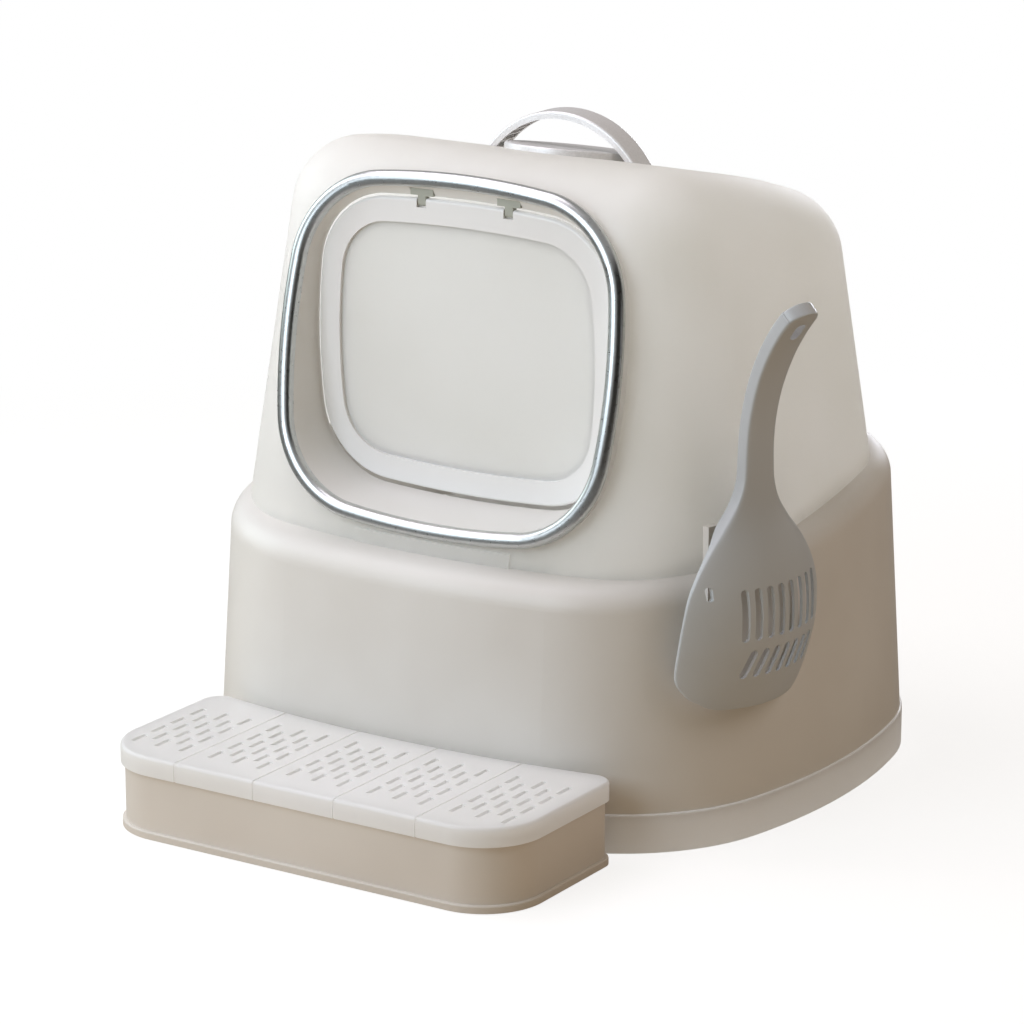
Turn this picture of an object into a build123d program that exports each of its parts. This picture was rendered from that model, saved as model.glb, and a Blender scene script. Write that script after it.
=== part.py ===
from build123d import *
import os
from math import cos, radians, sin, sqrt, tan

# A covered litter box with a step and a scoop, in millimetres, +Z up, front towards -Y.
# The origin lies on the floor under the middle of the litter tray.

# Shared clearances
wall = 3.0
fit_gap = 0.3
lift_gap = 1.0
overrun = 30.0

# Litter tray: a bowed, rounded plan with a hollow rim that carries the lower shell
tray_width = 438.6
tray_depth = 393.4
tray_corner = 124.6
tray_front_arc = 840.0
tray_side_arc = 421.0
band_height = 26.0
rim_width = 14.0
tray_height = 118.0
tray_wall = 2.6
tray_floor = 3.0
tray_floor_radius = 14.0
tray_edge = 1.2

# Lower shell: drafted skirt, with a shoulder that rises to the rear
shell_ledge = 1.5
shell_draft = 3.5
seam_height = 192.0
seam_slope = 7.3
shoulder_radius = 17.0
lip_height = 8.0
lip_wall = 2.2

# Hood: plan at its reference height, drafted all round, under a roof that falls to the rear
hood_reference = 200.0
hood_side_setback = 26.3
hood_front_setback = 39.7
hood_corner = 84.0
hood_front_arc = 800.0
hood_side_arc = 650.0
hood_taper = 8.7
roof_station = 5.0
roof_drop = 8.6
roof_slope = 13.0
roof_crown = 900.0
roof_fillet = 48.0
roof_round_share = 0.92
tongue_width = 120.0
tongue_height = 8.6
tongue_proud = 1.2

# Entrance: leaning trim ring, tunnel and the sill at the flap
ring_width = 262.0
ring_height = 237.0
ring_corner = 71.0
ring_arc = 560.0
ring_side_arc = 420.0
ring_band = 10.5
ring_depth = 7.0
ring_bead = 4.9
ring_setback = -3.6
ring_rise = 10.7
ring_lean = 9.9
frame_inset = 1.5
frame_depth = 34.0
tunnel_wall = 2.8
tunnel_flare = 3.1
sill_rise = 15.8
header_width = 130.0
header_rise = 9.0

# Flap: frame, window and retainer, hung from two clips in the tunnel's header
flap_setback = 29.0
flap_sill_gap = 3.0
flap_thickness = 6.0
flap_corner = 54.0
flap_arc = 860.0
flap_side_arc = 395.0
flap_border = 16.5
flap_gap = 1.6
flap_edge = 2.2
window_rebate = 5.0
window_thickness = 2.0
retainer_thickness = 1.6
retainer_band = 8.0
hinge_drop = 23.6
hinge_rise = 3.8
clip_spacing = 67.0
clip_width = 17.5
clip_head_low = 4.9
clip_head_high = 9.4
clip_stem = 6.0
clip_radius = 2.3
clip_gap = 0.6
pin_radius = 1.5
pin_gap = 0.08
pin_reach = 5.0

# Carrying handle: an arched strap whose ends pass through the roof
handle_radius = 71.3
handle_rise = 30.5
handle_thickness = 5.0
handle_width = 20.0
handle_reach = 76.0
handle_edge = 1.6
rib_count = 17
rib_spread = 104.0
rib_pocket_share = 0.72
rib_pocket_depth = 3.0
rib_edge = 2.4

# Odour filter under the handle: basket, carbon pad and cap
cap_diameter = 86.0
cap_height = 5.0
cap_tilt = 9.5
cap_drop = 1.5
cap_edge = 1.4
cap_spigot = 4.0
seat_ring = 4.0
seat_depth = 5.0
flange_thickness = 2.0
basket_diameter = 72.0
basket_depth = 24.0
basket_wall = 2.0
vent_radius = 3.0
vent_counts = (6, 12)
vent_shares = (0.38, 0.71)
pad_thickness = 12.0

# Scoop: a pear-shaped bowl turned about an upright axis behind it, slots and a bent handle
scoop_bearing = -15.0
scoop_height = 98.4
scoop_shift = -3.0
scoop_wall_gap = 0.9
bowl_axis = 60.0
bowl_lip = -5.0
bowl_lip_depth = 15.0
bowl_belly = 50.0
bowl_depth = 28.0
bowl_top = 142.0
bowl_top_depth = 1.2
bowl_wall = 2.2
bowl_width = 122.0
bowl_width_shares = (0.0, 0.54, 0.85, 0.97, 1.0, 0.97, 0.85, 0.62, 0.31)
bowl_height_shares = (0.0, 0.008, 0.08, 0.16, 0.3, 0.44, 0.6, 0.75, 0.91)
scoop_root = 112.0
grip_straight = 155.0
grip_bend_radius = 200.0
grip_bend = 35.5
grip_thickness = 9.0
grip_width = 25.0
grip_neck = 24.0
grip_inset = 0.6
grip_edge = 2.6
hang_hole_width = 8.0
hang_hole_length = 15.0
hang_hole_inset = 15.0
slot_width = 4.4
slot_pitch = 9.6
slot_shift = 9.0
long_slot_count = 8
long_slot = 32.0
long_slot_height = 60.0
short_slot_count = 7
short_slot = 18.0
short_slot_height = 28.0
short_slot_angle = 20.0
edge_slot = 9.0
edge_slot_place = -46.0
edge_slot_height = 76.0

# Hook for the scoop: a plate standing on the shell's shoulder, with a peg
hook_gap = 1.6
hook_plate = 54.0
hook_width = 18.0
hook_post = 5.0
hook_peg_height = 8.0
hook_peg_reach = 3.5

# Step: a hollow box with a foot lip, set against the tray's bowed front
step_width = 311.0
step_front = -313.0
step_corner = 40.0
step_back_corner = 10.0
step_height = 56.0
step_wall = 2.5
step_floor = 2.5
step_gap = 1.0
step_lip = 2.4
step_lip_height = 5.0
step_edge = 1.2
grate_rim = 12.8
grate_skirt = 2.2
grate_plate = 3.0
grate_gap = 0.5
grate_edge = 2.4
panel_count = 5
panel_pitch = 62.0
groove_width = 1.4
groove_depth = 0.7
column_count = 5
grate_column_pitch = 9.6
grate_slot_width = 3.2
grate_slot_length = 15.0
grate_slot_pitch = 21.0
row_count = 4

os.makedirs("parts", exist_ok=True)

# Sizes that follow from the ones above
hood_width = tray_width - 2 * hood_side_setback
hood_depth = tray_depth - 2 * hood_front_setback
seam_rate = tan(radians(seam_slope))
taper_rate = tan(radians(hood_taper))
ring_half_rise = ring_height / 2 * cos(radians(ring_lean))
ring_low = seam_height - hood_depth / 2 * seam_rate + ring_rise
ring_centre_z = ring_low + ring_half_rise
ring_centre_y = ring_setback - hood_depth / 2 + (ring_centre_z - hood_reference) * taper_rate
roof_height = ring_centre_z + ring_half_rise - roof_drop
roof_corner = hood_corner - (roof_height - hood_reference) * taper_rate
roof_round = min(roof_fillet, roof_corner * roof_round_share)
sill_height = ring_low + sill_rise
hinge_height = ring_centre_z + ring_half_rise - hinge_drop
ceiling_height = hinge_height + hinge_rise + flap_gap
opening_height = ceiling_height - sill_height
flap_y = ring_centre_y + flap_setback
flap_width = ring_width - 2 * (ring_band + tunnel_flare + flap_gap)
flap_bottom = sill_height + flap_sill_gap
flap_height = hinge_height + hinge_rise - flap_bottom


def corner_centre(half_width, half_depth, corner, front_arc, side_arc):
    """Centre of the corner arc that touches the front arc and the side arc from within."""
    front_y = front_arc - half_depth
    side_x = half_width - side_arc
    span = sqrt(side_x**2 + front_y**2)
    to_front = front_arc - corner
    to_side = side_arc - corner
    along = (to_front**2 - to_side**2 + span**2) / (2 * span)
    across = sqrt(to_front**2 - along**2)
    x = (along * side_x + across * front_y) / span
    y = front_y + (across * side_x - along * front_y) / span
    return Vector(x, y)


def bowed_outline(half_width, half_depth, corner, front_arc, side_arc):
    """Face of a rounded rectangle with bowed sides: eight arcs, each tangent to the next."""
    centre = corner_centre(half_width, half_depth, corner, front_arc, side_arc)
    from_front = (centre - Vector(0, front_arc - half_depth)).normalized()
    from_side = (centre - Vector(half_width - side_arc, 0)).normalized()
    start = centre + from_front * corner
    middle = centre + (from_front + from_side).normalized() * corner
    end = centre + from_side * corner
    with BuildLine() as outline:
        for sy in (1, -1):
            ThreePointArc((-start.X, sy * start.Y), (0, -sy * half_depth), (start.X, sy * start.Y))
        for sx in (1, -1):
            ThreePointArc((sx * end.X, end.Y), (sx * half_width, 0), (sx * end.X, -end.Y))
            for sy in (1, -1):
                points = [(sx * p.X, sy * p.Y) for p in (start, middle, end)]
                ThreePointArc(*points)
    return make_face(outline.edges())


def tray_outline(inset):
    """The tray's plan, moved in by an even inset."""
    return bowed_outline(
        tray_width / 2 - inset,
        tray_depth / 2 - inset,
        tray_corner - inset,
        tray_front_arc - inset,
        tray_side_arc - inset,
    )


def hood_outline(height, inset):
    """The hood's plan at a height, moved in by the draft and an even inset."""
    drawn_in = (height - hood_reference) * taper_rate + inset
    return bowed_outline(
        hood_width / 2 - drawn_in,
        hood_depth / 2 - drawn_in,
        hood_corner - drawn_in,
        hood_front_arc - drawn_in,
        hood_side_arc - drawn_in,
    )


def seam_at(y):
    """Height of the sloping seam between the shell and the hood."""
    return seam_height + y * seam_rate


def seam_plane(rise):
    """The seam's plane, moved along Z."""
    tilt = radians(seam_slope)
    return Plane((0, 0, seam_height + rise), x_dir=(1, 0, 0), z_dir=(0, -sin(tilt), cos(tilt)))


def band_profile(low, high):
    """Side view between two lines parallel to the seam."""
    reach = tray_depth
    with BuildLine() as profile:
        Polyline(
            (-reach, seam_at(-reach) + low),
            (reach, seam_at(reach) + low),
            (reach, seam_at(reach) + high),
            (-reach, seam_at(-reach) + high),
            close=True,
        )
    return make_face(profile.edges())


def shell_block(inset):
    """Drafted skirt under the sloping shoulder, moved in by an even inset."""
    with BuildPart() as block:
        with BuildSketch(Plane.XY.offset(band_height)):
            tray_outline(shell_ledge + inset / cos(radians(shell_draft)))
        extrude(amount=seam_height, taper=shell_draft)
        split(bisect_by=seam_plane(-inset), keep=Keep.BOTTOM)
        fillet(block.faces().sort_by(Axis.Z)[-1].edges(), shoulder_radius - inset)
    return block.part


def hood_core(inset):
    """Drafted plan of the hood from below the seam to above the roof."""
    low = seam_height - hood_depth / 4
    with BuildPart() as block:
        with BuildSketch(Plane.XY.offset(low)):
            hood_outline(low, inset)
        extrude(amount=roof_height + overrun - low, taper=hood_taper)
    return block.part


def hood_block(inset, bottom):
    """Drafted hood between the seam and the crowned roof, with its roof edge rounded."""
    reach = tray_depth / 2
    normal = Vector(sin(radians(roof_slope)), cos(radians(roof_slope)))
    centre = Vector(roof_station, roof_height) - normal * roof_crown
    radius = roof_crown - inset

    def roof_point(y):
        return (y, centre.Y + sqrt(radius**2 - (y - centre.X) ** 2))

    core = hood_core(inset)
    with BuildPart() as block:
        add(core)
        with BuildSketch(Plane.YZ):
            with BuildLine():
                Polyline(
                    roof_point(-reach),
                    (-reach, seam_at(-reach) + bottom),
                    (reach, seam_at(reach) + bottom),
                    roof_point(reach),
                )
                ThreePointArc(roof_point(reach), roof_point(roof_station), roof_point(-reach))
            make_face()
        extrude(amount=hood_width, both=True, mode=Mode.INTERSECT)
        fillet(block.faces().sort_by(Axis.Z)[-1].edges(), roof_round - inset)
    return block.part


# Planes of the entrance
lean = radians(ring_lean)
ring_normal = Vector(0, -cos(lean), sin(lean))
ring_plane = Plane((0, ring_centre_y, ring_centre_z), x_dir=(1, 0, 0), z_dir=ring_normal)
seat_plane = ring_plane.offset(-ring_depth)
rear_plane = Plane(
    (0, flap_y, (ceiling_height + sill_height) / 2), x_dir=(1, 0, 0), z_dir=(0, -1, 0)
)
hinge_front = Plane((0, flap_y, hinge_height), x_dir=(1, 0, 0), z_dir=(0, -1, 0))
hinge_side = Plane((0, flap_y, hinge_height), x_dir=(0, 1, 0), z_dir=(1, 0, 0))
clip_places = (-clip_spacing / 2, clip_spacing / 2)


def ring_outline(inset):
    """Outline of the trim ring in its own plane, moved in by an even inset."""
    return bowed_outline(
        ring_width / 2 - inset,
        ring_height / 2 - inset,
        ring_corner - inset,
        ring_arc - inset,
        ring_side_arc - inset,
    )


def tunnel_block(grow):
    """Loft from the opening round the flap to the opening of the trim ring, with a thick header."""
    with BuildPart() as block:
        with BuildSketch(rear_plane):
            bowed_outline(
                flap_width / 2 + flap_gap + grow,
                opening_height / 2 + grow,
                flap_corner + flap_gap + grow,
                flap_arc + grow,
                flap_side_arc + grow,
            )
        with BuildSketch(seat_plane):
            ring_outline(ring_band - grow)
        loft(ruled=True)
        if grow > 0:
            rise = header_rise + grow
            with BuildSketch(hinge_front):
                with Locations((0, rise / 2)):
                    Rectangle(header_width + 2 * grow, rise)
            extrude(amount=tunnel_wall)
    return block.part


# Litter tray
with BuildPart() as tray_hollow:
    with BuildSketch(Plane.XY.offset(tray_floor)):
        tray_outline(rim_width + tray_wall)
    extrude(amount=tray_height)
    fillet(tray_hollow.faces().sort_by(Axis.Z)[0].edges(), tray_floor_radius)

with BuildPart() as litter_tray:
    with BuildSketch():
        tray_outline(0)
    extrude(amount=band_height)
    fillet(litter_tray.faces().sort_by(Axis.Z)[-1].edges(), tray_edge)
    with BuildSketch():
        tray_outline(rim_width)
    extrude(amount=tray_height)
    with BuildSketch():
        tray_outline(wall)
        with BuildSketch(mode=Mode.SUBTRACT):
            tray_outline(rim_width)
    extrude(amount=band_height - wall, mode=Mode.SUBTRACT)
    add(tray_hollow.part, mode=Mode.SUBTRACT)
litter_tray.part.label = "litter_tray"
export_step(litter_tray.part, "parts/litter_tray.step")

# Lower shell, with a lip that stands inside the hood
shell_outer = shell_block(0)
shell_inner = shell_block(wall)
lip_outer = hood_core(wall + lift_gap)
lip_inner = hood_core(wall + lift_gap + lip_wall)

with BuildPart() as shell_lip:
    add(lip_outer)
    with BuildSketch(Plane.YZ):
        band_profile(-wall, lip_height)
    extrude(amount=hood_width, both=True, mode=Mode.INTERSECT)

with BuildPart() as lower_shell:
    add(shell_outer)
    add(shell_inner, mode=Mode.SUBTRACT)
    add(shell_lip.part)
    add(lip_inner, mode=Mode.SUBTRACT)
lower_shell.part.label = "lower_shell"
export_step(lower_shell.part, "parts/lower_shell.step")

# Hood
cap_lean = radians(cap_tilt)
cap_normal = Vector(0, sin(cap_lean), cos(cap_lean))
cap_seat = Plane(
    (0, roof_station, roof_height - cap_drop), x_dir=(1, 0, 0), z_dir=cap_normal
)
handle_plane = Plane((0, roof_station, 0), x_dir=(1, 0, 0), z_dir=(0, -1, 0))
handle_centre = roof_height + handle_rise - handle_radius


def handle_strap(grow):
    """Side view of the arched strap: a sector of a ring, grown evenly."""
    outer = handle_radius + grow
    inner = handle_radius - handle_thickness - grow
    turn = radians(handle_reach)
    with BuildLine() as strap:
        points = []
        for radius in (outer, inner):
            left = (-radius * sin(turn), handle_centre + radius * cos(turn))
            right = (radius * sin(turn), handle_centre + radius * cos(turn))
            ThreePointArc(left, (0, handle_centre + radius), right)
            points.append((left, right))
        Line(points[0][0], points[1][0])
        Line(points[0][1], points[1][1])
    return make_face(strap.edges())


hood_outer = hood_block(0, 0)
hood_inner = hood_block(wall, -overrun)
tunnel_hole = tunnel_block(tunnel_wall + fit_gap)

with BuildPart() as hood_tongue:
    add(hood_core(-tongue_proud))
    with BuildSketch(Plane.YZ):
        band_profile(0, tongue_height)
    extrude(amount=tongue_width / 2, both=True, mode=Mode.INTERSECT)
    split(bisect_by=Plane.XZ, keep=Keep.TOP)

with BuildPart() as hood:
    add(hood_outer)
    add(hood_tongue.part)
    with BuildSketch(seat_plane):
        ring_outline(frame_inset)
    extrude(amount=-frame_depth)
    add(hood_inner, mode=Mode.SUBTRACT)
    with BuildSketch(seat_plane):
        ring_outline(-fit_gap)
    extrude(amount=overrun, mode=Mode.SUBTRACT)
    add(tunnel_hole, mode=Mode.SUBTRACT)
    with BuildSketch(cap_seat):
        Circle(cap_diameter / 2 + seat_ring)
    extrude(amount=-seat_depth)
    with BuildSketch(cap_seat):
        Circle(cap_diameter / 2 + lift_gap)
    extrude(amount=overrun, mode=Mode.SUBTRACT)
    with BuildSketch(cap_seat):
        Circle(basket_diameter / 2 + fit_gap)
    extrude(amount=overrun, both=True, mode=Mode.SUBTRACT)
    with BuildSketch(handle_plane):
        handle_strap(fit_gap)
    extrude(amount=handle_width / 2 + fit_gap, both=True, mode=Mode.SUBTRACT)
hood.part.label = "hood"
export_step(hood.part, "parts/hood.step")

# Trim ring
with BuildPart() as entrance_trim:
    with BuildSketch(seat_plane):
        ring_outline(0)
        with BuildSketch(mode=Mode.SUBTRACT):
            ring_outline(ring_band)
    extrude(amount=ring_depth)
    front = entrance_trim.faces().filter_by(lambda face: face.normal_at().dot(ring_normal) > cos(lean))
    fillet(front.sort_by(Axis.Y)[0].edges(), ring_bead)
entrance_trim.part.label = "entrance_trim"
export_step(entrance_trim.part, "parts/entrance_trim.step")

# Entrance tunnel, with slots in its header for the hinge clips
tunnel_outer = tunnel_block(tunnel_wall)
tunnel_inner = tunnel_block(0)
with BuildPart() as entrance_tunnel:
    add(tunnel_outer)
    add(tunnel_inner, mode=Mode.SUBTRACT)
    with BuildSketch(hinge_front):
        for place in clip_places:
            with Locations((place, 0)):
                Rectangle(clip_width + 2 * fit_gap, 2 * (clip_head_high + fit_gap))
    extrude(amount=overrun, mode=Mode.SUBTRACT)
entrance_tunnel.part.label = "entrance_tunnel"
export_step(entrance_tunnel.part, "parts/entrance_tunnel.step")

# Hinge clips: a head in the header's slot, a stem down into the flap and two pin ends
clip_head_middle = (clip_head_low + clip_head_high) / 2
with BuildPart() as flap_hinge_pins:
    for place in clip_places:
        with BuildSketch(hinge_side.offset(place)):
            with Locations((0, clip_head_middle)):
                Rectangle(2 * clip_radius, clip_head_high - clip_head_low)
        extrude(amount=clip_width / 2, both=True)
        with BuildSketch(hinge_side.offset(place)):
            Circle(clip_radius)
            with Locations((0, clip_head_middle / 2)):
                Rectangle(2 * clip_radius, clip_head_middle)
        extrude(amount=clip_stem / 2, both=True)
        with BuildSketch(hinge_side.offset(place)):
            Circle(pin_radius)
        extrude(amount=clip_stem / 2 + pin_reach, both=True)
flap_hinge_pins.part.label = "flap_hinge_pins"
export_step(flap_hinge_pins.part, "parts/flap_hinge_pins.step")

# Flap
flap_plane = Plane(
    (0, flap_y, flap_bottom + flap_height / 2), x_dir=(1, 0, 0), z_dir=(0, -1, 0)
)
flap_front = flap_plane.offset(flap_thickness / 2)
flap_back = flap_plane.offset(-flap_thickness / 2)


def flap_outline(inset):
    """Outline of the flap, moved in by an even inset."""
    return bowed_outline(
        flap_width / 2 - inset,
        flap_height / 2 - inset,
        flap_corner - inset,
        flap_arc - inset,
        flap_side_arc - inset,
    )


rebate_inset = flap_border - window_rebate
with BuildPart() as flap_frame:
    with BuildSketch(flap_back):
        flap_outline(0)
    extrude(amount=flap_thickness)
    rims = flap_frame.faces().sort_by(Axis.Y)
    fillet(rims[0].edges() + rims[-1].edges(), flap_edge)
    with BuildSketch(flap_back):
        flap_outline(flap_border)
    extrude(amount=flap_thickness, mode=Mode.SUBTRACT)
    with BuildSketch(flap_back):
        flap_outline(rebate_inset)
    extrude(amount=window_thickness + retainer_thickness, mode=Mode.SUBTRACT)
    with BuildSketch(hinge_front):
        for place in clip_places:
            with Locations((place, (hinge_rise - clip_radius) / 2)):
                Rectangle(clip_stem + 2 * clip_gap, hinge_rise + clip_radius + 2 * clip_gap)
    extrude(amount=flap_thickness, both=True, mode=Mode.SUBTRACT)
    for place in clip_places:
        with BuildSketch(hinge_side.offset(place)):
            Circle(pin_radius + pin_gap)
        extrude(amount=clip_stem / 2 + pin_reach + clip_gap, both=True, mode=Mode.SUBTRACT)
flap_frame.part.label = "flap_frame"
export_step(flap_frame.part, "parts/flap_frame.step")

with BuildPart() as flap_window:
    with BuildSketch(flap_back.offset(retainer_thickness)):
        flap_outline(rebate_inset + fit_gap)
    extrude(amount=window_thickness)
flap_window.part.label = "flap_window"
export_step(flap_window.part, "parts/flap_window.step")

with BuildPart() as flap_retainer:
    with BuildSketch(flap_back):
        flap_outline(rebate_inset + fit_gap)
        with BuildSketch(mode=Mode.SUBTRACT):
            flap_outline(rebate_inset + retainer_band)
    extrude(amount=retainer_thickness)
flap_retainer.part.label = "flap_retainer"
export_step(flap_retainer.part, "parts/flap_retainer.step")

# Handle, with a ribbed underside
with BuildPart() as handle:
    with BuildSketch(handle_plane):
        handle_strap(0)
    extrude(amount=handle_width / 2, both=True)
    crown_edges = handle.faces().sort_by(Axis.Z)[-1].edges().filter_by(GeomType.CIRCLE)
    fillet(crown_edges, handle_edge)
    pocket_arc = radians(rib_spread / rib_count) * (handle_radius - handle_thickness)
    for index in range(rib_count):
        angle = (index - (rib_count - 1) / 2) * rib_spread / rib_count
        with BuildSketch(handle_plane):
            with Locations(Location((0, handle_centre), -angle)):
                with Locations((0, handle_radius - handle_thickness)):
                    Rectangle(pocket_arc * rib_pocket_share, 2 * rib_pocket_depth)
        extrude(amount=handle_width / 2 - rib_edge, both=True, mode=Mode.SUBTRACT)
handle.part.label = "handle"
export_step(handle.part, "parts/handle.step")

# Filter basket, pad and cap
basket_inner = basket_diameter / 2 - basket_wall
with BuildPart() as filter_basket:
    with BuildSketch(cap_seat):
        Circle(cap_diameter / 2)
    extrude(amount=flange_thickness)
    with BuildSketch(cap_seat):
        Circle(basket_diameter / 2)
    extrude(amount=-basket_depth)
    with BuildSketch(cap_seat.offset(flange_thickness)):
        Circle(basket_inner)
    extrude(amount=-(flange_thickness + basket_depth - basket_wall), mode=Mode.SUBTRACT)
    with BuildSketch(cap_seat.offset(-basket_depth)):
        Circle(vent_radius)
        for count, share in zip(vent_counts, vent_shares):
            with PolarLocations(basket_inner * share, count):
                Circle(vent_radius)
    extrude(amount=basket_wall, mode=Mode.SUBTRACT)
filter_basket.part.label = "filter_basket"
export_step(filter_basket.part, "parts/filter_basket.step")

with BuildPart() as carbon_filter:
    with BuildSketch(cap_seat.offset(basket_wall - basket_depth)):
        Circle(basket_inner - fit_gap)
    extrude(amount=pad_thickness)
carbon_filter.part.label = "carbon_filter"
export_step(carbon_filter.part, "parts/carbon_filter.step")

with BuildPart() as filter_cap:
    with BuildSketch(cap_seat.offset(flange_thickness)):
        Circle(cap_diameter / 2)
    extrude(amount=cap_height)
    fillet(filter_cap.edges().sort_by(Axis.Z)[-1], cap_edge)
    with BuildSketch(cap_seat.offset(flange_thickness)):
        Circle(basket_inner - fit_gap)
        Circle(basket_inner - fit_gap - basket_wall, mode=Mode.SUBTRACT)
    extrude(amount=-cap_spigot)
filter_cap.part.label = "filter_cap"
export_step(filter_cap.part, "parts/filter_cap.step")

# Scoop, hung outside the front right corner with its open side to the wall
bearing = radians(scoop_bearing)
outward = Vector(cos(bearing), sin(bearing), 0)
tangent = Vector(-sin(bearing), cos(bearing), 0)
drop =(scoop_height + bowl_lip - band_height) * tan(radians(shell_draft)) + shell_ledge
tray_corner_at = corner_centre(
    tray_width / 2, tray_depth / 2, tray_corner, tray_front_arc, tray_side_arc
)
wall_reach = tray_corner_at.dot(outward) + tray_corner - drop
scoop_reach = wall_reach + scoop_wall_gap
scoop_origin = outward * scoop_reach + tangent * scoop_shift
scoop_origin += tangent * (tray_corner_at.dot(tangent)) + Vector(0, 0, scoop_height)
scoop_face = Plane(scoop_origin, x_dir=tangent, z_dir=outward)
scoop_profile = Plane(scoop_origin, x_dir=outward, z_dir=(tangent * -1))
turning_axis = Axis((scoop_origin - outward * bowl_axis), (0, 0, 1))
bowl_length = bowl_top - bowl_lip
bowl_plan = [
    (wide * bowl_width / 2, bowl_lip + high * bowl_length)
    for wide, high in zip(bowl_width_shares, bowl_height_shares)
]
bowl_plan.append((grip_neck / 2, bowl_top))


def bowl_curve(inset):
    """Points of the bowl's section along its length, moved in by its wall."""
    return (
        (bowl_lip_depth - inset, bowl_lip),
        (bowl_depth - inset, bowl_belly),
        (bowl_top_depth - inset, bowl_top),
    )


def grip_curve(offset):
    """Points of one face of the bent grip, from its root to its end."""
    bend = radians(grip_bend)
    centre = grip_inset + grip_thickness + grip_bend_radius
    radius = centre - offset
    middle = (centre - radius * cos(bend / 2), grip_straight + radius * sin(bend / 2))
    end = (centre - radius * cos(bend), grip_straight + radius * sin(bend))
    return (offset, scoop_root), (offset, grip_straight), middle, end


with BuildPart() as scoop_grip:
    near = grip_curve(grip_inset)
    far = grip_curve(grip_inset + grip_thickness)
    with BuildSketch(scoop_profile):
        with BuildLine():
            for curve in (near, far):
                Line(curve[0], curve[1])
                ThreePointArc(*curve[1:])
            Line(near[0], far[0])
            Line(near[-1], far[-1])
        make_face()
    extrude(amount=grip_width, both=True)
    grip_end = far[-1][1]
    with BuildSketch(scoop_face):
        with BuildLine():
            Polyline(
                (-grip_width / 2, grip_end - grip_width / 2),
                (-grip_neck / 2, scoop_root),
                (grip_neck / 2, scoop_root),
                (grip_width / 2, grip_end - grip_width / 2),
            )
            ThreePointArc(
                (grip_width / 2, grip_end - grip_width / 2),
                (0, grip_end),
                (-grip_width / 2, grip_end - grip_width / 2),
            )
        make_face()
    extrude(amount=scoop_reach, mode=Mode.INTERSECT)
    fillet(scoop_grip.edges().filter_by(lambda edge: edge.length > grip_width), grip_edge)

with BuildPart() as scoop:
    with BuildSketch(scoop_profile):
        with BuildLine():
            outer_curve = bowl_curve(0)
            inner_curve = bowl_curve(bowl_wall)
            ThreePointArc(*outer_curve)
            ThreePointArc(*inner_curve)
            Line(outer_curve[0], inner_curve[0])
            Line(outer_curve[-1], inner_curve[-1])
        make_face()
    revolve(axis=turning_axis)
    with BuildSketch(scoop_face):
        with BuildLine():
            Spline(*bowl_plan, tangents=[(1, 0), (0, 1)])
            Spline(*[(-x, y) for x, y in bowl_plan], tangents=[(-1, 0), (0, 1)])
            Line((-grip_neck / 2, bowl_top), (grip_neck / 2, bowl_top))
        make_face()
    extrude(amount=bowl_axis, mode=Mode.INTERSECT)
    with BuildSketch(scoop_face):
        with Locations((slot_shift, long_slot_height)):
            with GridLocations(slot_pitch, 0, long_slot_count, 1):
                SlotOverall(long_slot, slot_width, rotation=90)
        with Locations((slot_shift, short_slot_height)):
            with GridLocations(slot_pitch, 0, short_slot_count, 1):
                SlotOverall(short_slot, slot_width, rotation=90 - short_slot_angle)
        with Locations((edge_slot_place, edge_slot_height)):
            SlotOverall(edge_slot, slot_width, rotation=90)
    extrude(amount=bowl_axis, mode=Mode.SUBTRACT)
    add(scoop_grip.part)
    with BuildSketch(scoop_face):
        with Locations((0, grip_end - hang_hole_inset)):
            SlotOverall(hang_hole_length, hang_hole_width, rotation=90)
    extrude(amount=scoop_reach, mode=Mode.SUBTRACT)
scoop.part.label = "scoop"
export_step(scoop.part, "parts/scoop.step")

# Hook: a plate that follows the shoulder's round and a peg under the scoop's root
hood_corner_at = corner_centre(
    hood_width / 2, hood_depth / 2, hood_corner, hood_front_arc, hood_side_arc
)
hood_spread = (hood_reference - seam_at(-hood_depth / 2)) * taper_rate
hood_reach = hood_corner_at.dot(outward) + hood_corner + hood_spread
post_back = hood_reach + hook_gap - scoop_reach
with BuildPart() as scoop_hook:
    with BuildSketch(scoop_profile):
        with Locations((post_back, 0)):
            Rectangle(hook_post, scoop_root, align=(Align.MIN, Align.MIN))
    extrude(amount=hook_plate / 2, both=True)
    with BuildSketch(scoop_profile):
        with Locations((post_back, scoop_root)):
            Rectangle(hook_peg_reach - post_back, hook_peg_height, align=(Align.MIN, Align.MAX))
    extrude(amount=hook_width / 2, both=True)
    add(shell_outer, mode=Mode.SUBTRACT)
scoop_hook.part.label = "scoop_hook"
export_step(scoop_hook.part, "parts/scoop_hook.step")


# Step box
skirt_space = grate_gap + grate_skirt


def step_outline(grow, back_gap):
    """Plan of the step, grown at its front and ends, hollowed at the back to follow the tray."""
    front = step_front - grow
    with BuildSketch(Plane.XY, mode=Mode.PRIVATE) as plan:
        with Locations((0, front)):
            Rectangle(step_width + 2 * grow, -front, align=(Align.CENTER, Align.MIN))
        with Locations((0, tray_front_arc - tray_depth / 2)):
            Circle(tray_front_arc + back_gap, mode=Mode.SUBTRACT)
        fillet(plan.vertices().sort_by(Axis.Y)[:2], step_corner + grow)
        fillet(plan.vertices().sort_by(Axis.Y)[-2:], step_back_corner + grow)
    return add(plan.sketch)


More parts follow.
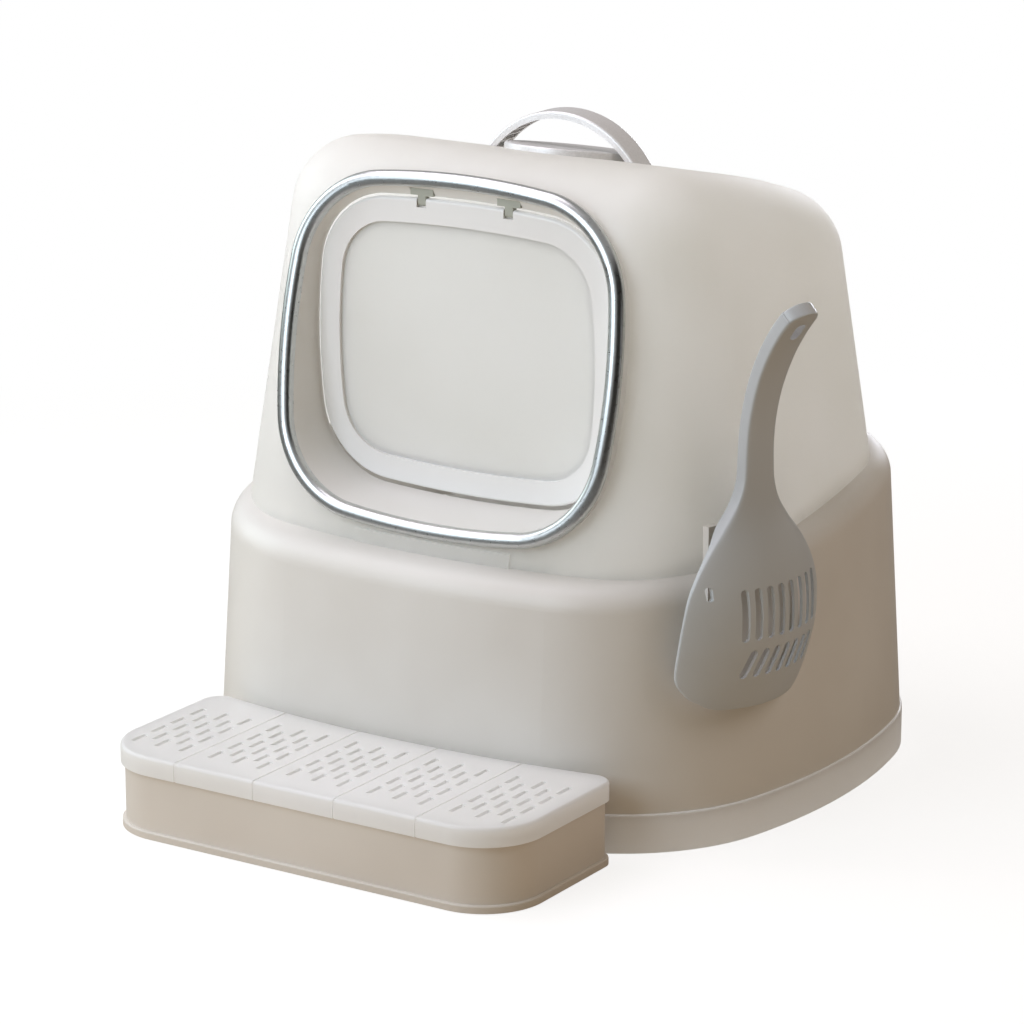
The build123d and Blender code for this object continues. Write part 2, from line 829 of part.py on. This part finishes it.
with BuildPart() as step_box:
    with BuildSketch():
        step_outline(step_lip, step_gap)
    extrude(amount=step_lip_height)
    fillet(step_box.faces().sort_by(Axis.Z)[-1].edges(), step_edge)
    with BuildSketch():
        step_outline(0, step_gap + skirt_space)
    extrude(amount=step_height - grate_plate)
    with BuildSketch(Plane.XY.offset(step_floor)):
        step_outline(-step_wall, step_gap + skirt_space + step_wall)
    extrude(amount=step_height, mode=Mode.SUBTRACT)
step_box.part.label = "step_box"
export_step(step_box.part, "parts/step_box.step")

# Grate lid over the step box
rim_low = step_height - grate_rim
rim_front = step_front - skirt_space
slot_middle = (step_front - tray_depth / 2 - step_gap) / 2
with BuildPart() as step_grate:
    with BuildSketch(Plane.XY.offset(rim_low)):
        step_outline(skirt_space, step_gap)
    extrude(amount=grate_rim)
    fillet(step_grate.faces().sort_by(Axis.Z)[-1].edges(), grate_edge)
    with BuildSketch(Plane.XY.offset(rim_low)):
        step_outline(grate_gap, step_gap + grate_skirt)
    extrude(amount=grate_rim - grate_plate, mode=Mode.SUBTRACT)
    with BuildSketch(Plane.XY.offset(step_height)):
        with Locations((0, slot_middle)):
            with GridLocations(panel_pitch, 0, panel_count - 1, 1):
                Rectangle(groove_width, step_width)
    extrude(amount=-groove_depth, mode=Mode.SUBTRACT)
    with BuildSketch(Plane.XY.offset(rim_low)):
        with Locations((0, rim_front)):
            with GridLocations(panel_pitch, 0, panel_count - 1, 1):
                Rectangle(groove_width, 2 * groove_depth)
    extrude(amount=grate_rim, mode=Mode.SUBTRACT)
    with BuildSketch(Plane.XY.offset(step_height)):
        for panel in range(panel_count):
            for column in range(column_count):
                x = (panel - (panel_count - 1) / 2) * panel_pitch
                x += (column - (column_count - 1) / 2) * grate_column_pitch
                with Locations((x, slot_middle)):
                    with GridLocations(0, grate_slot_pitch, 1, row_count - column % 2):
                        Rectangle(grate_slot_width, grate_slot_length)
    extrude(amount=-grate_plate, mode=Mode.SUBTRACT)
step_grate.part.label = "step_grate"
export_step(step_grate.part, "parts/step_grate.step")
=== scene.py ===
import bpy
import numpy as np
from math import cos, radians, sin
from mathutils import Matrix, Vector


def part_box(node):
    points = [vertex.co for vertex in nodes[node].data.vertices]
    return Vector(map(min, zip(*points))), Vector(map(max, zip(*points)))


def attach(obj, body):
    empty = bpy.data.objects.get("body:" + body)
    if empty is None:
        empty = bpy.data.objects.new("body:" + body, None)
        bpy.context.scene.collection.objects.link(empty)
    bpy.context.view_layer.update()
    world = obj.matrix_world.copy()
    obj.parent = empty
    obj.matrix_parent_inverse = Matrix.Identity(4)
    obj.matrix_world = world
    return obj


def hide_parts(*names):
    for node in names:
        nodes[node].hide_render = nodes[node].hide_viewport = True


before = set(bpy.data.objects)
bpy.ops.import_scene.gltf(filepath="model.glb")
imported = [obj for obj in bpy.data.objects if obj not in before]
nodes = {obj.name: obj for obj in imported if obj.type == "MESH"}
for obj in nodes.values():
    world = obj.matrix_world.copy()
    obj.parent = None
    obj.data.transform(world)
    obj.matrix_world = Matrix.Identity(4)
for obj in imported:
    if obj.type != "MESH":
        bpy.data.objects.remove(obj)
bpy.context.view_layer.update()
MM = 0.001

# Camera, as the photograph has it: azimuth from the front towards +X, elevation, distance, aim and lens
view_azimuth, view_elevation = radians(33.0), radians(15.8)
view_distance = 2.886
view_aim = Vector((-0.0227, -0.0283, 0.1653))
view_lens, view_sensor = 150.05, 36.0
view_near, view_far = 0.1, 60.0


def stage_direction(azimuth, elevation):
    """Unit vector from the object towards a place round it: azimuth from the front, elevation above the
    floor."""
    return Vector((sin(azimuth) * cos(elevation), -cos(azimuth) * cos(elevation), sin(elevation)))


def set_camera():
    """A fixed camera with no shift and no depth of field, looking at the aim point."""
    data = bpy.data.cameras.new("view")
    camera = bpy.data.objects.new("view", data)
    bpy.context.scene.collection.objects.link(camera)
    back = stage_direction(view_azimuth, view_elevation)
    camera.location = view_aim + back * view_distance
    camera.rotation_mode = "QUATERNION"
    camera.rotation_quaternion = (-back).to_track_quat("-Z", "Y")
    data.sensor_width, data.lens = view_sensor, view_lens
    data.clip_start, data.clip_end = view_near, view_far
    bpy.context.scene.camera = camera


set_camera()
bpy.context.scene.view_settings.view_transform = "Standard"

# Materials. Noise keeps mostly within this span, so patterns are spread over it
noise_span = (0.3, 0.7)


def tone(hex_code):
    """Linear RGBA of an sRGB hex colour: the two-part sRGB curve undone channel by channel."""
    channels = [int(hex_code[i:i + 2], 16) / 255 for i in (1, 3, 5)]
    linear = [c / 12.92 if c <= 0.04045 else ((c + 0.055) / 1.055) ** 2.4 for c in channels]
    return (*linear, 1.0)


def per_mm(size):
    """Texture scale, in cells per metre, for a pattern whose cells are this many millimetres."""
    return 1.0 / (size * MM)


def put(tree, kind, settings=None, **links):
    """Adds one node: settings are its properties or socket values, links are sockets fed by other nodes'
    outputs. A socket is named with underscores for spaces, or in0, in1, ... for its place."""
    node = tree.nodes.new(kind)
    for key, value in (settings or {}).items():
        if hasattr(node, key):
            setattr(node, key, value)
        else:
            node.inputs[key].default_value = value
    for key, source in links.items():
        by_place = key.startswith("in") and key[2:].isdigit()
        socket = node.inputs[int(key[2:]) if by_place else key.replace("_", " ")]
        tree.links.new(source, socket)
    return node


def new_material(name):
    """An empty node material with its output and the Object coordinates all patterns read."""
    material = bpy.data.materials.new(name)
    material.use_nodes = True
    tree = material.node_tree
    tree.nodes.clear()
    output = put(tree, "ShaderNodeOutputMaterial")
    place = put(tree, "ShaderNodeTexCoord").outputs["Object"]
    return material, tree, output, place


def colour_range(tree, value, span, tones):
    """A ramp that turns a value within a span into the range between two tones."""
    ramp = put(tree, "ShaderNodeValToRGB", in0=value)
    for element, place, shade in zip(ramp.color_ramp.elements, span, tones):
        element.position, element.color = place, tone(shade)
    return ramp.outputs["Color"]


def number_range(tree, value, span, start, end):
    """A value within a span carried over to the range from start to end."""
    settings = {"From Min": span[0], "From Max": span[1], "To Min": start, "To Max": end}
    return put(tree, "ShaderNodeMapRange", settings, in0=value).outputs["Result"]


def moulded_plastic(name, tones, roughness, grain_mm, grain_depth_mm, passes=0.0):
    """Moulded thermoplastic with a spark-textured skin. The eye gets a soft, broad highlight broken by fine
    grain, and a body colour that drifts a little where the melt flowed. The real grain is about 0.2 mm
    across, too fine to show at this distance, so grain_mm draws it coarser. Where the wall is milky, passes
    is the share of light that goes on through each of its faces, so that the far side of a lit piece
    glows."""
    flow_mm, patch_mm = 95, 24
    dull, duller = roughness - 0.015, roughness + 0.02
    material, tree, output, place = new_material(name)
    drift = put(tree, "ShaderNodeTexNoise", {"Scale": per_mm(flow_mm), "Detail": 2.0}, Vector=place)
    colour = colour_range(tree, drift.outputs["Fac"], noise_span, tones)
    spark = {"Scale": per_mm(grain_mm), "Detail": 3.0, "Roughness": 0.6}
    grain = put(tree, "ShaderNodeTexNoise", spark, Vector=place)
    patch = put(tree, "ShaderNodeTexNoise", {"Scale": per_mm(patch_mm), "Detail": 3.0}, Vector=place)
    gloss = number_range(tree, patch.outputs["Fac"], noise_span, dull, duller)
    relief = {"Strength": 0.35, "Distance": grain_depth_mm * MM}
    bump = put(tree, "ShaderNodeBump", relief, Height=grain.outputs["Fac"])
    shader = put(tree, "ShaderNodeBsdfPrincipled", {"IOR": 1.49},
                 Base_Color=colour, Roughness=gloss, Normal=bump.outputs["Normal"])
    surface = shader.outputs["BSDF"]
    if passes:
        glow = put(tree, "ShaderNodeBsdfTranslucent", Color=colour)
        milky = put(tree, "ShaderNodeMixShader", {"Fac": passes}, in1=surface, in2=glow.outputs[0])
        surface = milky.outputs[0]
    tree.links.new(surface, output.inputs["Surface"])
    return material


# Warm ivory, opaque, with a broad soft sheen
shell_ivory = moulded_plastic("polypropylene_ivory_satin", ("#e0dcd6", "#e7e4df"), 0.42, 1.1, 0.05)
# Paler ivory, with some light in its rim
tray_ivory = moulded_plastic(
    "polypropylene_pale_ivory_satin", ("#fbfaf8", "#fefdfc"), 0.40, 1.1, 0.05, passes=0.36)
# Ivory and white from polished moulds, with clearer highlights
tunnel_ivory = moulded_plastic("abs_ivory_semigloss", ("#e5e3de", "#ebe9e5"), 0.30, 0.9, 0.004)
flap_white = moulded_plastic("abs_white_semigloss", ("#f9f8f7", "#fbfbfa"), 0.30, 0.9, 0.004)
# Dull warm beige
step_beige = moulded_plastic("polypropylene_beige_satin", ("#ddd5cc", "#e4ddd5"), 0.46, 1.2, 0.06)
# Cool grey with a light sheen along the grip
scoop_grey = moulded_plastic("abs_cool_grey_satin", ("#c4c8cb", "#ccd0d3"), 0.30, 1.0, 0.02)
# Greenish grey, smooth
clip_grey = moulded_plastic("acetal_grey_green_smooth", ("#b4b6ab", "#bdbfb4"), 0.34, 0.8, 0.01)
# Milky white that glows on its shaded side
hood_milk = moulded_plastic(
    "polypropylene_milky_satin", ("#f7f6f3", "#fbfaf8"), 0.42, 1.1, 0.05, passes=0.6)
# Uncoloured and milky, with a soft glow in its rim
grate_milk = moulded_plastic(
    "polypropylene_natural_translucent", ("#fbfaf8", "#fefdfc"), 0.34, 1.0, 0.03, passes=0.36)
# Frosted sheet that takes light from both sides
window_frost = moulded_plastic(
    "polystyrene_sheet_frosted", ("#f7f7f4", "#fbfbf9"), 0.48, 0.8, 0.03, passes=0.3)


def plated_trim():
    """Chrome-plated ABS with a satin finish. The eye gets a bright band where the bead turns to the light and
    dark grey where it turns away, softened by slight ripple of the plated plastic, about 9 mm long."""
    ripple_mm, ripple_depth_mm, haze_mm = 9, 0.08, 2.5
    material, tree, output, place = new_material("chrome_plated_abs_satin")
    ripple = put(tree, "ShaderNodeTexNoise", {"Scale": per_mm(ripple_mm), "Detail": 2.0}, Vector=place)
    haze = put(tree, "ShaderNodeTexNoise", {"Scale": per_mm(haze_mm), "Detail": 3.0}, Vector=place)
    colour = colour_range(tree, haze.outputs["Fac"], noise_span, ("#c4c5c3", "#cdcecc"))
    gloss = number_range(tree, haze.outputs["Fac"], noise_span, 0.27, 0.32)
    relief = {"Strength": 0.2, "Distance": ripple_depth_mm * MM}
    bump = put(tree, "ShaderNodeBump", relief, Height=ripple.outputs["Fac"])
    shader = put(tree, "ShaderNodeBsdfPrincipled", {"Metallic": 1.0},
                 Base_Color=colour, Roughness=gloss, Normal=bump.outputs["Normal"])
    tree.links.new(shader.outputs["BSDF"], output.inputs["Surface"])
    return material


def silver_paint():
    """Silver lacquer on ABS. Fine flake, drawn 0.9 mm across to show, gives a soft grey sparkle under a thin
    clear coat, brighter where the strap turns up."""
    flake_mm, flake_depth_mm, haze_mm = 0.9, 0.02, 14
    material, tree, output, place = new_material("silver_lacquer_on_abs")
    flake = put(tree, "ShaderNodeTexVoronoi", {"Scale": per_mm(flake_mm)}, Vector=place)
    shade = put(tree, "ShaderNodeSeparateColor", in0=flake.outputs["Color"]).outputs[0]
    colour = colour_range(tree, shade, (0.0, 1.0), ("#eae9e8", "#f2f1f0"))
    haze = put(tree, "ShaderNodeTexNoise", {"Scale": per_mm(haze_mm), "Detail": 3.0}, Vector=place)
    gloss = number_range(tree, haze.outputs["Fac"], noise_span, 0.34, 0.40)
    bump = put(tree, "ShaderNodeBump", {"Strength": 0.15, "Distance": flake_depth_mm * MM}, Height=shade)
    coat = {"Metallic": 0.3, "Coat Weight": 0.25, "Coat Roughness": 0.2}
    shader = put(tree, "ShaderNodeBsdfPrincipled", coat,
                 Base_Color=colour, Roughness=gloss, Normal=bump.outputs["Normal"])
    tree.links.new(shader.outputs["BSDF"], output.inputs["Surface"])
    return material


def carbon_felt():
    """Needled felt loaded with carbon. Matted fibres about 0.1 mm thick, drawn 0.7 mm, break the black into a
    soft dark grey nap."""
    fibre_mm, nap_mm = 0.7, 0.5
    material, tree, output, place = new_material("carbon_needled_felt")
    matted = {"Scale": per_mm(fibre_mm), "Detail": 6.0, "Roughness": 0.75, "Distortion": 1.5}
    fibre = put(tree, "ShaderNodeTexNoise", matted, Vector=place)
    colour = colour_range(tree, fibre.outputs["Fac"], noise_span, ("#141413", "#3a3937"))
    relief = {"Strength": 0.8, "Distance": nap_mm * MM}
    bump = put(tree, "ShaderNodeBump", relief, Height=fibre.outputs["Fac"])
    nap = {"Roughness": 0.95, "Sheen Weight": 0.3, "Sheen Roughness": 0.6}
    shader = put(tree, "ShaderNodeBsdfPrincipled", nap, Base_Color=colour, Normal=bump.outputs["Normal"])
    tree.links.new(shader.outputs["BSDF"], output.inputs["Surface"])
    return material


trim_chrome = plated_trim()
handle_silver = silver_paint()
pad_felt = carbon_felt()
finishes = {
    "litter_tray": tray_ivory,
    "lower_shell": shell_ivory,
    "scoop_hook": shell_ivory,
    "hood": hood_milk,
    "entrance_trim": trim_chrome,
    "entrance_tunnel": tunnel_ivory,
    "flap_hinge_pins": clip_grey,
    "handle": handle_silver,
    "filter_basket": shell_ivory,
    "carbon_filter": pad_felt,
    "filter_cap": handle_silver,
    "flap_frame": flap_white,
    "flap_window": window_frost,
    "flap_retainer": flap_white,
    "step_box": step_beige,
    "step_grate": grate_milk,
    "scoop": scoop_grey,
}
for name, finish in finishes.items():
    slots = nodes[name].data.materials
    slots.clear()
    slots.append(finish)


def new_object(name, points, faces):
    """An object in the scene from points in metres and faces."""
    mesh = bpy.data.meshes.new(name)
    mesh.from_pydata(points.tolist(), [], faces)
    thing = bpy.data.objects.new(name, mesh)
    bpy.context.scene.collection.objects.link(thing)
    return thing


def shade_smooth(mesh):
    """Marks every face of a mesh as smooth."""
    mesh.polygons.foreach_set("use_smooth", np.ones(len(mesh.polygons), dtype=bool))


# Carbon pad: a felt disc in the basket, level with the cap
pad_radius, pad_thickness = 33.2 * MM, 11.6 * MM
pad_lean = radians(9.5)
pad_low, pad_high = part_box("carbon_filter")
pad_rings, pad_spokes = 61, 120
quilt_pitch, quilt_share = 11 * MM, 0.09
rim_wave_share, rim_waves, rim_turn = 0.006, (5, 3), 0.7
rim_power, crown_power = 0.35, 0.45


def felt_pad():
    """A crowned disc. Rings run from the middle of the top over the rim to the middle of the underside: the
    radius is the sine and the height the cosine of the ring's angle, both raised to a small power, which
    squares the rim. Two crossed cosine waves press a shallow quilting into both faces, and a slow wave makes
    the rim uneven. At the end it is leaned with the cap and set in the middle of its CAD solid."""
    turn = np.linspace(0, np.pi, pad_rings)[1:-1, None]
    spoke = np.linspace(0, 2 * np.pi, pad_spokes, endpoint=False)[None, :]
    uneven = 1 + np.sin(rim_waves[0] * spoke + rim_turn) * np.cos(rim_waves[1] * spoke)
    radius = pad_radius * (1 - rim_wave_share * uneven) * np.sin(turn) ** rim_power
    height = pad_thickness / 2 * np.sign(np.cos(turn)) * np.abs(np.cos(turn)) ** crown_power
    x, y = radius * np.cos(spoke), radius * np.sin(spoke)
    wave = 2 * np.pi / quilt_pitch
    quilt = 1 - quilt_share * (1 + np.cos(wave * x) * np.cos(wave * y)) / 2
    pole = pad_thickness / 2 * (1 - quilt_share)
    points = np.stack([x, y, height * quilt], axis=-1).reshape(-1, 3)
    points = np.concatenate([points, [(0, 0, pole), (0, 0, -pole)]])
    turned = points.copy()
    turned[:, 1] = points[:, 1] * cos(pad_lean) + points[:, 2] * sin(pad_lean)
    turned[:, 2] = points[:, 2] * cos(pad_lean) - points[:, 1] * sin(pad_lean)
    turned += (np.array(pad_low) + np.array(pad_high)) / 2
    index = np.arange((pad_rings - 2) * pad_spokes).reshape(pad_rings - 2, pad_spokes)
    after = np.roll(index, -1, axis=1)
    faces = np.stack([index[:-1], index[1:], after[1:], after[:-1]], axis=-1).reshape(-1, 4).tolist()
    faces += np.stack([index[0], after[0], np.full(pad_spokes, len(points) - 2)], axis=-1).tolist()
    faces += np.stack([after[-1], index[-1], np.full(pad_spokes, len(points) - 1)], axis=-1).tolist()
    pad = new_object("carbon_pad", turned, faces)
    shade_smooth(pad.data)
    pad.data.materials.append(pad_felt)
    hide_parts("carbon_filter")
    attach(pad, "hood_body")


felt_pad()

# Scoop: the CAD's scoop in its moulded form, whose neck flows from the grip into the bowl. All sizes in mm.
# It stands on the CAD scoop's own foot, and its out direction leads away from the shell
scoop_bearing = radians(-15.0)
scoop_origin = np.array((202.095, -100.705, 98.4))
scoop_out = np.array((cos(scoop_bearing), sin(scoop_bearing), 0.0))
scoop_across = np.array((-sin(scoop_bearing), cos(scoop_bearing), 0.0))
scoop_up = np.array((0.0, 0.0, 1.0))
bowl_axis = 60.0
grip_straight, grip_radius, grip_bend = 158.0, 150.0, radians(45.0)
grip_end = grip_straight + grip_radius * grip_bend
end_crown = 0.3
# Stations from the lip to the end of the grip: length along it, half width, depth of its face and of its back
scoop_stations = (
    (-5.0, 3.0, 15.0, 13.6),
    (-3.8, 33.0, 15.6, 13.4),
    (1.5, 45.0, 17.6, 15.4),
    (6.8, 51.9, 19.3, 17.1),
    (18.5, 59.2, 22.8, 20.6),
    (39.1, 61.0, 27.2, 25.0),
    (59.7, 59.2, 28.0, 25.8),
    (75.0, 55.3, 26.3, 23.6),
    (90.0, 47.5, 22.6, 18.9),
    (103.0, 38.0, 18.4, 12.6),
    (114.0, 28.5, 14.8, 4.5),
    (126.0, 19.5, 12.4, 2.2),
    (138.0, 14.4, 11.8, 2.2),
    (152.0, 12.6, 11.8, 2.2),
    (190.0, 12.2, 11.8, 2.2),
    (230.0, 12.8, 11.8, 2.2),
    (grip_end - 13.0, 13.0, 11.8, 2.2),
    (grip_end - 8.0, 12.0, 11.8, 2.2),
    (grip_end - 4.0, 9.6, 11.7, 2.3),
    (grip_end - 1.2, 6.0, 11.5, 2.5),
    (grip_end, 2.5, 11.2, 2.8),
)
station_steps, section_steps = 8, 72
band_power = 8
crease_angle = radians(40)
# Slots: row middle across, height, count, length, width and lean in degrees. The last two rows are the edge
# slot and the hang hole. Three rows lie 0.03 mm off the round figure, to keep the cuts off the skin's corners
slot_rows = (
    (9.03, 60.0, 8, 34.0, 5.6, 0.0),
    (9.03, 27.0, 7, 20.0, 5.6, 20.0),
    (-46.0, 76.0, 1, 9.0, 4.4, 0.0),
    (0.03, grip_end - 19.0, 1, 15.0, 8.0, 0.0),
)
slot_pitch = 9.6
slot_corners = 24
cut_depths = (-8.0, 42.0)


def curve_through(values, steps):
    """Rows of a smooth curve through rows of values: on each gap the Catmull-Rom cubic of the four rows about
    it."""
    rows = np.asarray(values, dtype=float)
    wide = np.concatenate([[2 * rows[0] - rows[1]], rows, [2 * rows[-1] - rows[-2]]])
    x = np.linspace(0, 1, steps, endpoint=False)[None, :, None]
    a, b, c, d = (wide[k:k + len(rows) - 1, None, :] for k in range(4))
    slope, bow, twist = c - a, 2 * a - 5 * b + 4 * c - d, 3 * b - a - 3 * c + d
    curve = (2 * b + slope * x + bow * x ** 2 + twist * x ** 3) / 2
    return np.concatenate([curve.reshape(-1, rows.shape[1]), rows[-1:]])


def scoop_place(across, along, depth):
    """Points of the scoop, in metres, from their place across it, along it and out from the wall. Past the
    straight part the length turns outward round a circle, and the depth turns with it."""
    turn = np.clip((along - grip_straight) / grip_radius, 0, grip_bend)
    out = grip_radius * (1 - np.cos(turn)) + depth * np.cos(turn)
    up = np.minimum(along, grip_straight) + (grip_radius - depth) * np.sin(turn)
    up = up + np.maximum(along - grip_end, 0)
    place = scoop_origin + across[..., None] * scoop_across
    place = place + out[..., None] * scoop_out + up[..., None] * scoop_up
    return place * MM


def in_triangles(quads):
    """Each four-sided face as two triangles, so that cuts through a curved skin meet flat faces only."""
    corners = np.reshape(quads, (-1, 4))
    return np.concatenate([corners[:, [0, 1, 2]], corners[:, [0, 2, 3]]]).tolist()


def slot_cutter():
    """Prisms through the bowl and the grip: each outline is a slot with half-round ends, the two half circles
    set apart by the slot's straight length and leaned."""
    points, faces = [], []
    turn = np.linspace(0, 2 * np.pi, slot_corners, endpoint=False) + np.pi / slot_corners
    for middle, height, count, length, width, lean_degrees in slot_rows:
        lean = radians(lean_degrees)
        x = width / 2 * np.cos(turn)
        y = width / 2 * np.sin(turn) + np.sign(np.sin(turn)) * (length - width) / 2
        for i in range(count):
            across = middle + (i - (count - 1) / 2) * slot_pitch + x * cos(lean) + y * sin(lean)
            along = height + y * cos(lean) - x * sin(lean)
            inner = np.arange(slot_corners) + len(points) * slot_corners
            after = np.roll(inner, -1)
            outer = inner + slot_corners
            points += [scoop_place(across, along, np.full(slot_corners, depth)) for depth in cut_depths]
            faces += in_triangles(np.stack([inner, after, after + slot_corners, outer], axis=-1))
            faces += [inner[::-1].tolist(), outer.tolist()]
    return new_object("slot_cutter", np.concatenate(points), faces)


def scoop_skin():
    """One closed skin along the stations. Each section is a band between the face and the back, both turned
    about the upright bowl axis: a point's radius from that axis is the band's middle plus or minus half its
    thickness times the 8th root of one minus the 8th power of its place across, which rounds the rim."""
    along, half_width, face, back = (c[:, None] for c in curve_through(scoop_stations, station_steps).T)
    place = -np.cos(np.linspace(0, np.pi, section_steps + 1))
    side = np.concatenate([place, place[-2:0:-1]])[None, :]
    sign = np.concatenate([np.ones(len(place)), -np.ones(len(place) - 2)])[None, :]
    rim = (1 - np.abs(side) ** band_power) ** (1 / band_power)
    middle = (face + back) / 2
    radius = bowl_axis + middle + sign * rim * (face - back) / 2
    across = half_width * side
    skin = scoop_place(across, along + 0 * side, np.sqrt(radius ** 2 - across ** 2) - bowl_axis)
    lip = scoop_place(np.zeros(1), along[0] - end_crown, middle[0])
    tip = scoop_place(np.zeros(1), along[-1] + end_crown, middle[-1])
    rows, columns = skin.shape[:2]
    index = np.arange(rows * columns).reshape(rows, columns)
    after = np.roll(index, -1, axis=1)
    faces = in_triangles(np.stack([index[:-1], index[1:], after[1:], after[:-1]], axis=-1))
    faces += np.stack([index[0], after[0], np.full(columns, rows * columns)], axis=-1).tolist()
    faces += np.stack([after[-1], index[-1], np.full(columns, rows * columns + 1)], axis=-1).tolist()
    return new_object("scoop_form", np.concatenate([skin.reshape(-1, 3), lip, tip]), faces)


def scoop_form():
    """The skin with its slots cut out, smooth but for the slots' edges."""
    form = scoop_skin()
    cutter = slot_cutter()
    cut = form.modifiers.new("slots", "BOOLEAN")
    cut.operation, cut.solver, cut.object = "DIFFERENCE", "EXACT", cutter
    slotted = form.evaluated_get(bpy.context.evaluated_depsgraph_get())
    mesh = bpy.data.meshes.new_from_object(slotted)
    form.modifiers.clear()
    form.data = mesh
    bpy.data.objects.remove(cutter)
    shade_smooth(mesh)
    mesh.set_sharp_from_angle(angle=crease_angle)
    mesh.materials.clear()
    mesh.materials.append(scoop_grey)
    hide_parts("scoop")
    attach(form, "scoop_body")


scoop_form()

# Studio: a pale floor, white behind, lamps at the front, left and right, a low one behind and a dark card at
# the right. Places in metres and degrees, powers in watts
lamp_aim = Vector((0, 0, 0.2))
card_bearing, card_distance, card_height = 78, 1.5, 0.5
card_half_width, card_half_height = 1.5, 1.0
floor_half, floor_drop = 8.0, 0.0004
floor_fade = (0.45, 1.1)


def area_light(name, azimuth, elevation, distance, size, power, colour):
    """A square lamp at a bearing from the aim point, turned to face it."""
    data = bpy.data.lights.new(name, "AREA")
    data.shape, data.size, data.energy = "SQUARE", size, power
    data.color = tone(colour)[:3]
    lamp = bpy.data.objects.new(name, data)
    bpy.context.scene.collection.objects.link(lamp)
    direction = stage_direction(radians(azimuth), radians(elevation))
    lamp.location = lamp_aim + direction * distance
    lamp.rotation_mode = "QUATERNION"
    lamp.rotation_quaternion = direction.to_track_quat("Z", "Y")
    return lamp


area_light("front", -15, 22, 1.3, 0.8, 6.9, "#e2f2ff")
area_light("key", -45, 45, 1.3, 0.8, 3.3, "#fcf0ff")
area_light("left", -75, 22, 1.3, 0.8, 5.2, "#e6fbff")
area_light("left_high", -75, 68, 1.3, 0.8, 5.0, "#fbf5ff")
side_lamp = area_light("right", 100, 35, 1.3, 0.8, 3.4, "#fcfaff")
area_light("back", 190, 9, 1.7, 0.6, 6.5, "#f0f5ff")
# Reflections do not show the lamp at the right, so that plated and glossy edges turn dark there
side_lamp.visible_glossy = False


def dark_card():
    """An upright card at the right that only reflections show, so that plated and glossy edges turn dark
    there."""
    outward = stage_direction(radians(card_bearing), 0.0)
    sideways = Vector((0, 0, 1)).cross(outward)
    middle = outward * card_distance + Vector((0, 0, card_height))
    across, up = sideways * card_half_width, Vector((0, 0, card_half_height))
    left, right = middle - across, middle + across
    corners = np.array([left - up, right - up, right + up, left + up])
    card = new_object("dark_card", corners, [(0, 1, 2, 3)])
    material, tree, output, place = new_material("card_dark_matt")
    black = put(tree, "ShaderNodeBsdfDiffuse", {"Color": tone("#2c2b28")})
    tree.links.new(black.outputs[0], output.inputs["Surface"])
    card.data.materials.append(material)
    for kind in ("camera", "diffuse", "transmission", "shadow", "volume_scatter"):
        setattr(card, "visible_" + kind, False)


def by_rays(tree, lights, mirrored, seen):
    """One of three shaders by the kind of ray: the first lights matt surfaces, the second shows in
    reflections, and the third is what the camera and rays that have come through a milky wall see."""
    path = put(tree, "ShaderNodeLightPath").outputs
    white = put(tree, "ShaderNodeMath", {"operation": "MAXIMUM"},
                in0=path["Is Camera Ray"], in1=path["Is Transmission Ray"])
    unseen = put(tree, "ShaderNodeMixShader",
                 in0=path["Is Glossy Ray"], in1=lights.outputs[0], in2=mirrored.outputs[0])
    either = put(tree, "ShaderNodeMixShader",
                 in0=white.outputs[0], in1=unseen.outputs[0], in2=seen.outputs[0])
    return either.outputs[0]


def white_world():
    """White where it is looked at, a grey surround in reflections, and a dim warm fill for everything it
    lights."""
    world = bpy.data.worlds.new("studio")
    bpy.context.scene.world = world
    world.use_nodes = True
    tree = world.node_tree
    tree.nodes.clear()
    fill = put(tree, "ShaderNodeBackground", {"Color": tone("#ffda8a"), "Strength": 0.142})
    surround = put(tree, "ShaderNodeBackground", {"Color": tone("#f6f6f6"), "Strength": 0.4})
    seen = put(tree, "ShaderNodeBackground", {"Color": tone("#ffffff"), "Strength": 1.0})
    output = put(tree, "ShaderNodeOutputWorld")
    tree.links.new(by_rays(tree, fill, surround, seen), output.inputs["Surface"])


def pale_floor():
    """A flat floor that shows the object's shadow near it and fades to white further out. To what it lights
    it is a warm pale floor, and reflections show it grey."""
    signs = np.array([(-1, -1, 0), (1, -1, 0), (1, 1, 0), (-1, 1, 0)])
    floor = new_object("floor", signs * floor_half - (0, 0, floor_drop), [(0, 1, 2, 3)])
    material, tree, output, place = new_material("floor_pale_matt")
    away = put(tree, "ShaderNodeVectorMath", {"operation": "LENGTH"}, in0=place).outputs["Value"]
    fade = number_range(tree, away, floor_fade, 0.0, 1.0)
    shadow = put(tree, "ShaderNodeBsdfDiffuse", {"Color": tone("#9a9896")})
    glow = put(tree, "ShaderNodeEmission", {"Color": tone("#ffffff"), "Strength": 0.8})
    near = put(tree, "ShaderNodeAddShader", in0=shadow.outputs[0], in1=glow.outputs[0])
    far = put(tree, "ShaderNodeEmission", {"Color": tone("#ffffff"), "Strength": 1.0})
    seen = put(tree, "ShaderNodeMixShader", in0=fade, in1=near.outputs[0], in2=far.outputs[0])
    warm = put(tree, "ShaderNodeBsdfDiffuse", {"Color": tone("#d8c5ab")})
    grey = put(tree, "ShaderNodeBsdfDiffuse", {"Color": tone("#8c8c8b")})
    tree.links.new(by_rays(tree, warm, grey, seen), output.inputs["Surface"])
    floor.data.materials.append(material)


dark_card()
white_world()
pale_floor()
